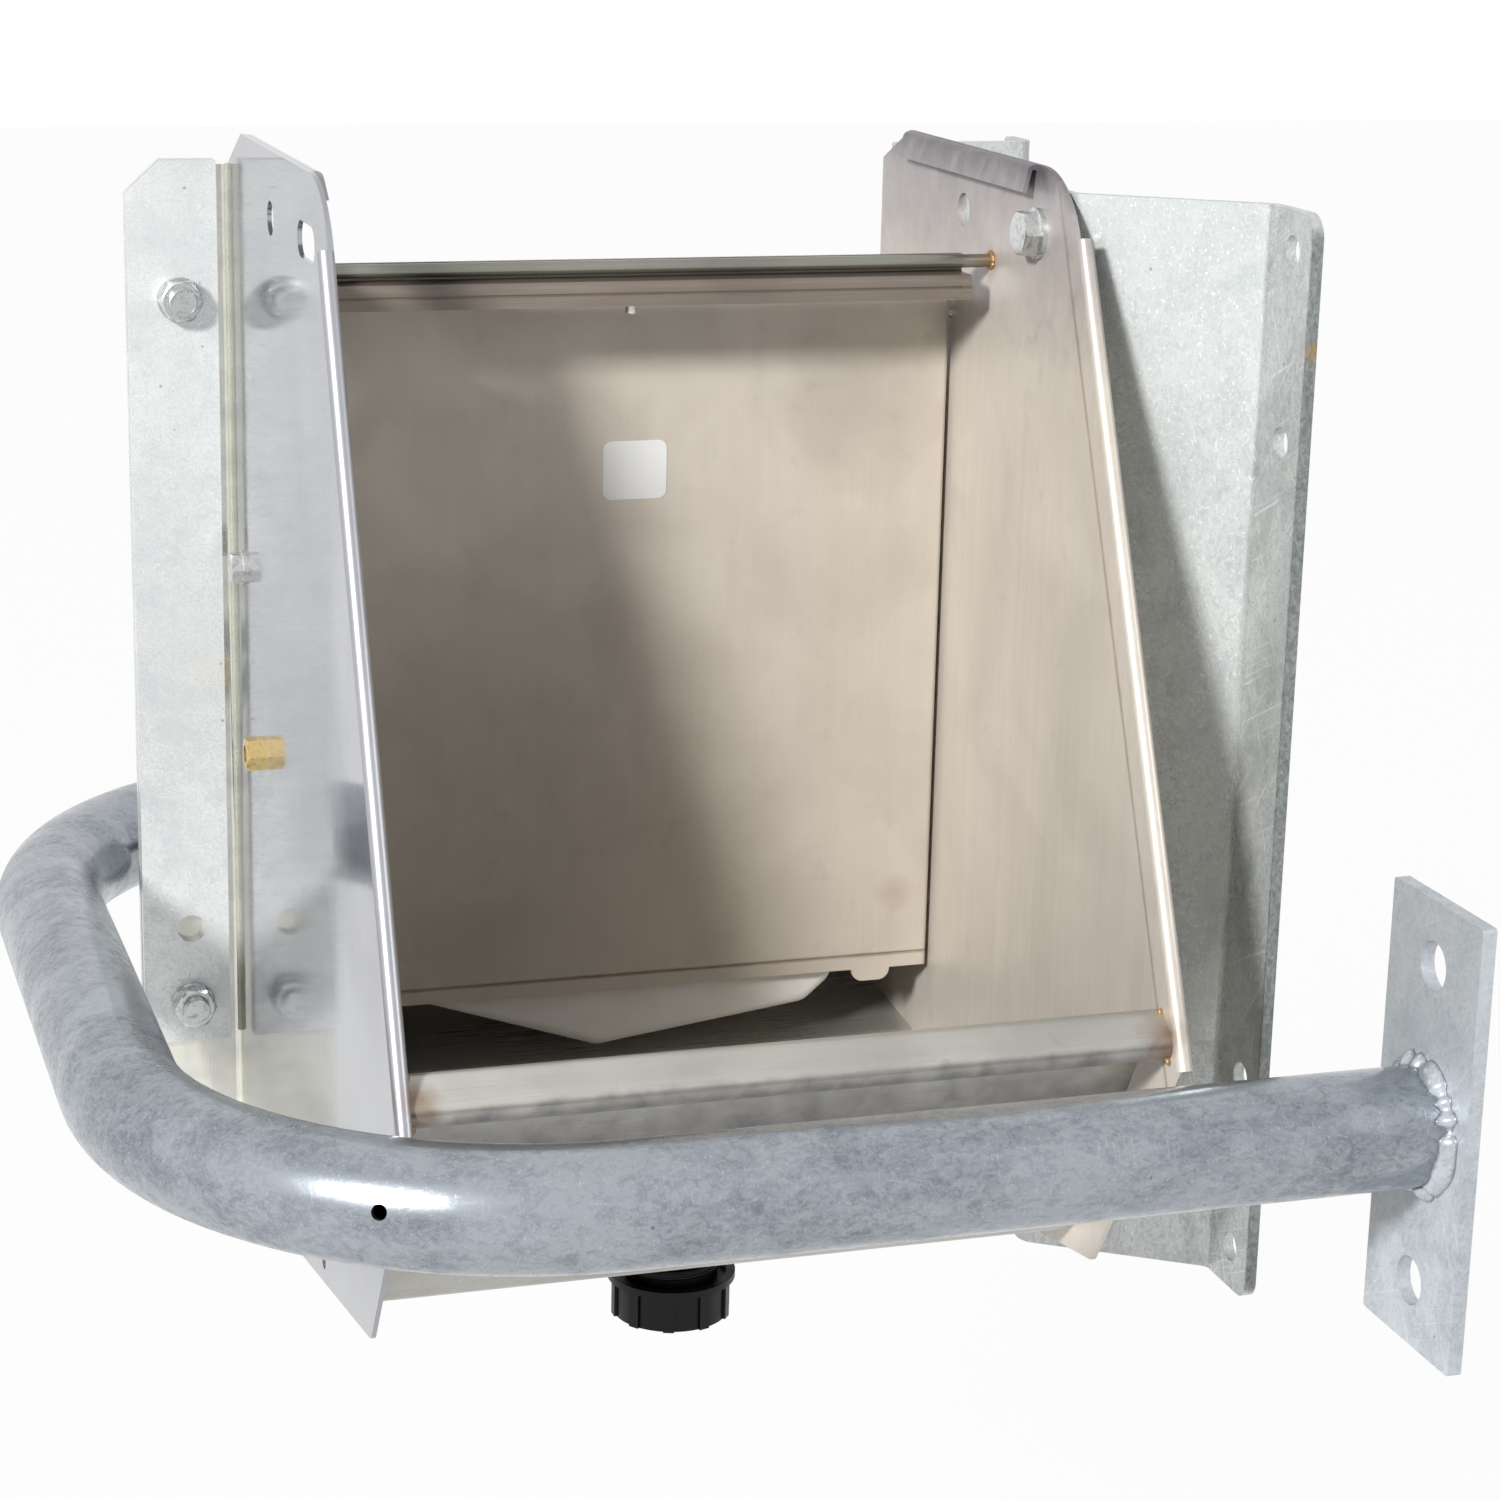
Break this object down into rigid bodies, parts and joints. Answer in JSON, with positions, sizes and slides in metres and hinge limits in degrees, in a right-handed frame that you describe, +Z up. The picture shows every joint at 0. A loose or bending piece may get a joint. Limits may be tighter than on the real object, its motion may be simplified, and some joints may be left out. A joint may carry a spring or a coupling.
{
  "type": "livestock drinking trough",
  "caption": "Stainless steel animal drinking trough with tall side panels, hinged cover over a float valve, galvanised side-wall bracket, bottom drain cap and U-shaped tube bumper",
  "frame": {"origin": "on the wall face, midway between the two upper bolt holes of the wall bracket's front flange", "axes": "+X into the wall, +Y from the drinking side to the back along the wall, +Z up"},
  "size_m": [0.5171, 0.627, 0.518],
  "materials": {
    "stainless": "satin brushed sheet",
    "stainless_fastener": "plain turned stainless",
    "galvanised": "hot-dip zinc with fine mottling",
    "zinc_fastener": "bright zinc plated",
    "brass": "machined",
    "rubber": "moulded",
    "white_plastic": "blow moulded",
    "black_plastic": "moulded, slightly satin"
  },
  "bodies": {
    "trough": {"left_side_panel": "stainless", "right_side_panel": "stainless", "basin": "stainless", "back_wall": "stainless", "top_rod": "stainless", "cover_rail": "stainless", "cover_pins": "stainless", "stop_stud": "stainless_fastener", "stop_nut": "stainless_fastener", "valve_carrier": "stainless", "carrier_bolt": "stainless_fastener", "carrier_nut": "stainless_fastener", "carrier_washers": "stainless_fastener", "valve_body": "brass", "stud_nut": "brass", "lever_pin": "stainless_fastener", "drain_spigot": "black_plastic", "drain_gasket": "rubber", "drain_locknut": "black_plastic", "clamp_strip_front": "galvanised", "clamp_strip_rear": "galvanised", "flange_bolts": "zinc_fastener", "flange_nuts": "zinc_fastener", "flange_washers": "zinc_fastener", "wall_bracket": "galvanised", "panel_bolt": "zinc_fastener", "panel_nut": "zinc_fastener", "panel_washers": "zinc_fastener", "bumper_tube": "galvanised", "bumper_plate_front": "galvanised", "bumper_plate_rear": "galvanised", "bumper_weld_front": "galvanised", "bumper_weld_rear": "galvanised"},
    "cover": {"valve_cover": "stainless"},
    "float": {"float_lever": "stainless", "float_body": "white_plastic", "float_stud": "stainless_fastener", "float_nut": "stainless_fastener"},
    "stem": {"valve_stem": "brass", "valve_seal": "rubber"},
    "cap": {"drain_cap": "black_plastic", "drain_cap_seal": "rubber"}
  },
  "joints": [
    {"name": "cover_hinge", "type": "hinge", "parent": "trough", "child": "cover", "pos_m": [-0.236, 0.1985, -0.012], "axis": [-1, 0, 0], "range_deg": [0, 80]},
    {"name": "float_hinge", "type": "hinge", "parent": "trough", "child": "float", "pos_m": [-0.326, 0.223, -0.233], "axis": [0, -1, 0], "range_deg": [0, 15]},
    {"name": "valve_stem_slide", "type": "slide", "parent": "trough", "child": "stem", "axis": [-1, 0, 0], "range_m": [0, 0.0061]},
    {"name": "drain_cap_turn", "type": "hinge", "parent": "trough", "child": "cap", "pos_m": [-0.236, 0.095, -0.435], "axis": [0, 0, 1], "continuous": true}
  ],
  "couplings": [
    {"joint": "valve_stem_slide", "follows": "float_hinge", "m_per_rad": 0.023}
  ]
}
